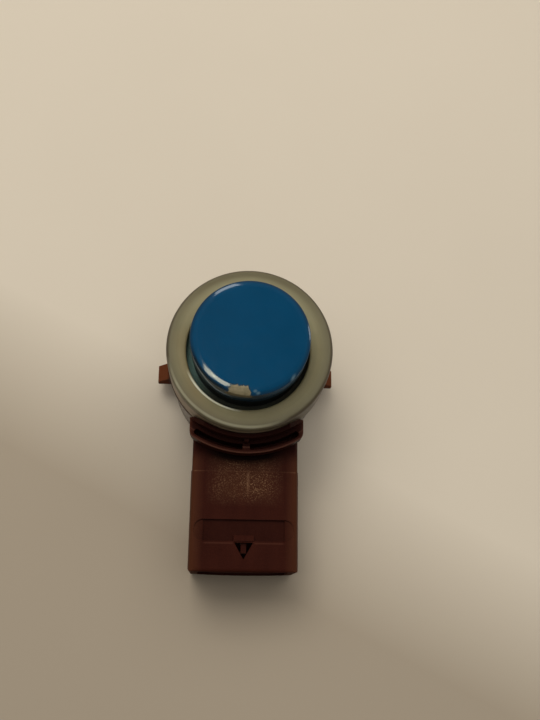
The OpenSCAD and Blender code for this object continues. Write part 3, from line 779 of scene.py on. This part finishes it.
def lathe(name, profile, facets, material):
    """Closed solid from a closed (r, z) outline; points on the axis become one vertex."""
    verts = []
    rows = []
    for r, z in profile:
        if r < 1e-6:
            rows.append([len(verts)])
            verts.append((0.0, 0.0, z))
            continue
        row = []
        for i in range(facets):
            angle = 2 * math.pi * i / facets
            row.append(len(verts))
            verts.append((r * math.cos(angle), r * math.sin(angle), z))
        rows.append(row)
    faces = []
    count = len(rows)
    on_axis = any(len(row) == 1 for row in rows)
    last = count - 1 if on_axis else count
    for k in range(last):
        a = rows[k]
        b = rows[(k + 1) % count]
        for i in range(facets):
            j = (i + 1) % facets
            if len(a) == 1 and len(b) == 1:
                continue
            if len(a) == 1:
                faces.append((a[0], b[i], b[j]))
            elif len(b) == 1:
                faces.append((a[i], b[0], a[j]))
            else:
                faces.append((a[i], b[i], b[j], a[j]))
    obj = new_object(name, verts, faces, material)
    bm = bmesh.new()
    bm.from_mesh(obj.data)
    bmesh.ops.recalc_face_normals(bm, faces=bm.faces)
    bm.to_mesh(obj.data)
    bm.free()
    return obj


def apply_modifiers(obj):
    depsgraph = bpy.context.evaluated_depsgraph_get()
    mesh = bpy.data.meshes.new_from_object(obj.evaluated_get(depsgraph))
    obj.modifiers.clear()
    old = obj.data
    obj.data = mesh
    bpy.data.meshes.remove(old)


def weigh_normals(obj):
    """Flat faces stay flat in the shading, and only the rounded edges turn."""
    for face in obj.data.polygons:
        face.use_smooth = True
    weighted = obj.modifiers.new("normals", "WEIGHTED_NORMAL")
    weighted.mode = "FACE_AREA"
    weighted.weight = 100
    weighted.keep_sharp = False


def between(value, start, full):
    """0 at start and 1 at full, with a straight rise between them."""
    return min(1.0, max(0.0, (value - start) / (full - start)))


def eased(share):
    return share * share * (3.0 - 2.0 * share)


# Pieces
def cup_profile():
    """The cup's closed outline: inside, foot, bare wall, painted band, corner, shoulder and face."""
    foot_edge = FOOT_R - FOOT_EDGE_R
    profile = [(0.0, LAND_Z), (CUP_IN_R, LAND_Z), (CUP_IN_R, CUP_FOOT_Z), (foot_edge, CUP_FOOT_Z)]
    profile += arc(foot_edge, CUP_FOOT_Z + FOOT_EDGE_R, FOOT_EDGE_R, -90, 0, 3)[1:]
    profile += arc(foot_edge, FOOT_TOP_Z - FOOT_EDGE_R, FOOT_EDGE_R, 0, 90, 3)
    profile += [(CUP_BODY_R, FOOT_TOP_Z), (CUP_BODY_R, 17.5), (CUP_BODY_R, BAND_Z)]
    profile += arc(CUP_R - BAND_EDGE_R, BAND_Z + BAND_EDGE_R, BAND_EDGE_R, -90, 0, 3)
    tilt = math.radians(SHOULDER_TILT)
    start = math.radians(SHOULDER_START)
    corner_x = CUP_R - CORNER_R
    shoulder_x = corner_x + (CORNER_R - SHOULDER_R) * math.sin(tilt)
    shoulder_z = FACE_Z - SHOULDER_R * math.cos(start)
    corner_z = shoulder_z + (SHOULDER_R - CORNER_R) * math.cos(tilt)
    profile += [(CUP_R, 21.0)]
    profile += arc(corner_x, corner_z, CORNER_R, 0, 90 - SHOULDER_TILT, 8)
    profile += arc(shoulder_x, shoulder_z, SHOULDER_R, 90 - SHOULDER_TILT, 90 - SHOULDER_START, 8)[1:]
    face_r = shoulder_x + SHOULDER_R * math.sin(start) - 0.04
    profile += [(r, FACE_Z) for r in (face_r, 6.6, 5.2, 2.6, 0.0)]
    return profile


def pocket_tool():
    """The flat-sided pocket behind the cup's face, as a solid that is cut out of the cup."""
    steps = 16
    start = math.asin(POCKET_W / 2 / CUP_IN_R)
    outline = []
    for i in range(steps + 1):
        angle = -start + 2 * start * i / steps
        outline.append((CUP_IN_R * math.cos(angle), CUP_IN_R * math.sin(angle)))
    outline += [(-x, -y) for x, y in outline]
    count = len(outline)
    verts = [(x, y, z) for z in (LAND_Z - 0.5, POCKET_FLOOR_Z) for x, y in outline]
    faces = [tuple(range(count - 1, -1, -1)), tuple(range(count, 2 * count))]
    faces += [(i, (i + 1) % count, count + (i + 1) % count, count + i) for i in range(count)]
    return new_object("pocket_tool", verts, faces, None)


def make_cup(paint, metal):
    """The drawn cup: painted band and face, bare wall below, foot, and the pocket behind the face."""
    cup = lathe("transducer_cup_shell", cup_profile(), CUP_FACETS, paint)
    cup.data.materials.append(metal)
    tool = pocket_tool()
    cut = cup.modifiers.new("pocket", "BOOLEAN")
    cut.object = tool
    cut.solver = "EXACT"
    apply_modifiers(cup)
    bpy.data.objects.remove(tool)
    for face in cup.data.polygons:
        centre = face.center
        inside = math.hypot(centre.x, centre.y) < 7.0 * MM and centre.z < 22.6 * MM
        if centre.z < (BAND_Z - 0.01) * MM or inside:
            face.material_index = 1
    smooth_by_angle(cup)
    return cup


def ring_profile():
    """The ring's closed outline: rounded outside, thin inner lip, gap, lip round the foot, groove."""
    profile = [(RING_R, RIM_Z), (RING_R, 14.0), (RING_R, 16.0)]
    profile += arc(RING_R - RING_EDGE_R, RING_FACE_Z - RING_EDGE_R, RING_EDGE_R, 0, 90, 12)
    profile += [(r, RING_FACE_Z) for r in (10.3, 10.0, 9.6, 9.2)]
    lip_centre = RING_LIP_R + RING_LIP_EDGE_R
    profile += arc(lip_centre, RING_FACE_Z - RING_LIP_EDGE_R, RING_LIP_EDGE_R, 90, 180, 6)
    profile += [(RING_LIP_R, 17.9), (RING_LIP_R, 17.5), (RING_BORE_R, 16.8)]
    profile += [(RING_BORE_R, GAP_FLOOR_Z + GAP_EDGE_R)]
    profile += arc(RING_BORE_R - GAP_EDGE_R, GAP_FLOOR_Z + GAP_EDGE_R, GAP_EDGE_R, 0, -90, 4)[1:]
    profile += [(CUP_BODY_R + CLEAR, GAP_FLOOR_Z), (CUP_BODY_R + CLEAR, FOOT_TOP_Z)]
    profile += [(FOOT_R + CLEAR, FOOT_TOP_Z), (FOOT_R + CLEAR, CUP_FOOT_Z)]
    profile += [(LIP_IN_R, CUP_FOOT_Z), (LIP_IN_R, LIP_Z)]
    profile += [(SPIGOT_IN_R - CLEAR, LIP_Z), (SPIGOT_IN_R - CLEAR, SPIGOT_TOP_Z)]
    profile += [(SPIGOT_R + CLEAR, SPIGOT_TOP_Z), (SPIGOT_R + CLEAR, RIM_Z)]
    return profile


def make_ring(material):
    """The silicone ring, with its lip and its outside moved a little, as they are in the photo."""
    ring = lathe("decoupling_ring_body", ring_profile(), RING_FACETS, material)
    for vertex in ring.data.vertices:
        place = vertex.co
        radius = math.hypot(place.x, place.y) / MM
        lip = eased(between(radius, 10.3, 8.9) * between(place.z / MM, 16.4, 17.5))
        place.x += RING_LIP_SHIFT[0] * MM * lip
        place.y += RING_LIP_SHIFT[1] * MM * lip
        place.x += RING_EDGE_SHIFT * MM * eased(between(radius, 10.6, 11.2))
    smooth_by_angle(ring)
    return ring


def make_housing(material):
    """The CAD housing with its sharp edges broken, as a moulding has them."""
    mesh = nodes["housing"].data.copy()
    mesh.name = "housing_moulding"
    body = bpy.data.objects.new("housing_moulding", mesh)
    scene.collection.objects.link(body)
    mesh.materials.clear()
    mesh.materials.append(material)
    bm = bmesh.new()
    bm.from_mesh(mesh)
    bmesh.ops.remove_doubles(bm, verts=bm.verts, dist=WELD * MM)
    bmesh.ops.dissolve_limit(bm, angle_limit=math.radians(FLAT_ANGLE), verts=bm.verts, edges=bm.edges)
    bm.to_mesh(mesh)
    bm.free()
    bevel = body.modifiers.new("edges", "BEVEL")
    bevel.width = BEVEL_W * MM
    bevel.segments = BEVEL_STEPS
    bevel.limit_method = "ANGLE"
    bevel.angle_limit = math.radians(BEVEL_ANGLE)
    bevel.miter_outer = "MITER_ARC"
    bevel.use_clamp_overlap = True
    weigh_normals(body)
    apply_modifiers(body)
    return body


# Floor, lights and world
def floor_material():
    """A pale table top with a painted shadow that darkens it softly toward the front left."""
    m = Mat("floor")
    x, y, z = m.split()
    base = m.mottle(m.noise(9.0, 4.0, 0.6), FLOOR["dark"], FLOOR["light"])
    slant = m.math("ADD", m.times(x, 0.5), y)
    m.put(
        Base_Color=m.tint(base, FLOOR["front_left"], m.fade(slant, -4.0, -29.0, 0.0, 0.78)),
        Roughness=0.6,
        Specular_IOR_Level=0.2,
    )
    return m.mat


def make_floor():
    mesh = bpy.data.meshes.new("floor")
    corners = [(-1, -1), (1, -1), (1, 1), (-1, 1)]
    mesh.from_pydata([(FLOOR_HALF * x, FLOOR_HALF * y, 0) for x, y in corners], [], [(0, 1, 2, 3)])
    floor = bpy.data.objects.new("floor", mesh)
    scene.collection.objects.link(floor)
    mesh.materials.append(floor_material())


def panel(name, start, end, width, radiance, colour, diffuse, glossy):
    """A soft panel that spans from one direction to another, as seen from the head of the sensor."""
    first = Vector(start).normalized() * PANEL_REACH
    last = Vector(end).normalized() * PANEL_REACH
    middle = (first + last) / 2
    along = (last - first).normalized()
    back = middle.normalized()
    side = along.cross(back).normalized()
    back = side.cross(along).normalized()
    data = bpy.data.lights.new(name, "AREA")
    data.shape = "RECTANGLE"
    data.size = width
    data.size_y = (last - first).length
    data.energy = radiance * math.pi * data.size * data.size_y
    data.color = colour
    light = bpy.data.objects.new(name, data)
    turn = Matrix((side, along, back)).transposed().to_4x4()
    light.matrix_world = Matrix.Translation(Vector(HEAD) * MM + middle) @ turn
    light.visible_diffuse = diffuse
    light.visible_transmission = diffuse
    light.visible_volume_scatter = diffuse
    light.visible_glossy = glossy
    scene.collection.objects.link(light)
    return light


def make_world():
    world = bpy.data.worlds.new("world")
    scene.world = world
    world.use_nodes = True
    tree = world.node_tree
    coords = tree.nodes.new("ShaderNodeTexCoord")
    split = tree.nodes.new("ShaderNodeSeparateXYZ")
    ramp = tree.nodes.new("ShaderNodeValToRGB")
    tree.links.new(coords.outputs["Generated"], split.inputs[0])
    tree.links.new(split.outputs["Z"], ramp.inputs["Fac"])
    tree.links.new(ramp.outputs["Color"], tree.nodes["Background"].inputs["Color"])
    fill_ramp(ramp, [(place, tuple(level * part for part in ROOM_TINT)) for place, level in ROOM_LEVELS])


def only_lights(lights, piece):
    """Lamps whose light falls on one piece alone."""
    lit = bpy.data.collections.new(piece.name + "_lit")
    lit.objects.link(piece)
    for light in lights:
        light.light_linking.receiver_collection = lit


make_camera()
make_floor()
for lamp in ROOM_LAMPS:
    panel(*lamp, diffuse=True, glossy=False)
cup_glints = [panel(*lamp, diffuse=False, glossy=True) for lamp in GLINT_LAMPS]
make_world()

cup = make_cup(cup_material(), bare_metal_material())
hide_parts("transducer_cup")
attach(cup, "root")
only_lights(cup_glints, cup)

ring = make_ring(ring_material())
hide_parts("decoupling_ring")
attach(ring, "root")

housing = make_housing(housing_material())
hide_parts("housing")
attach(housing, "root")

materials = {
    "copper": wire_material(),
    "winding_copper": winding_material(),
    "board_laminate": board_material(),
    "foam": foam_material(),
    "potting_resin": resin_material(),
}
for name, (dark, light, rough, extra) in PLAIN.items():
    materials[name] = plain_material(name, dark, light, rough, **extra)

for name, look in LOOKS.items():
    mesh = nodes[name].data
    mesh.materials.clear()
    mesh.materials.append(materials[look])
    for face in mesh.polygons:
        face.material_index = 0

scene.view_settings.view_transform = "Standard"
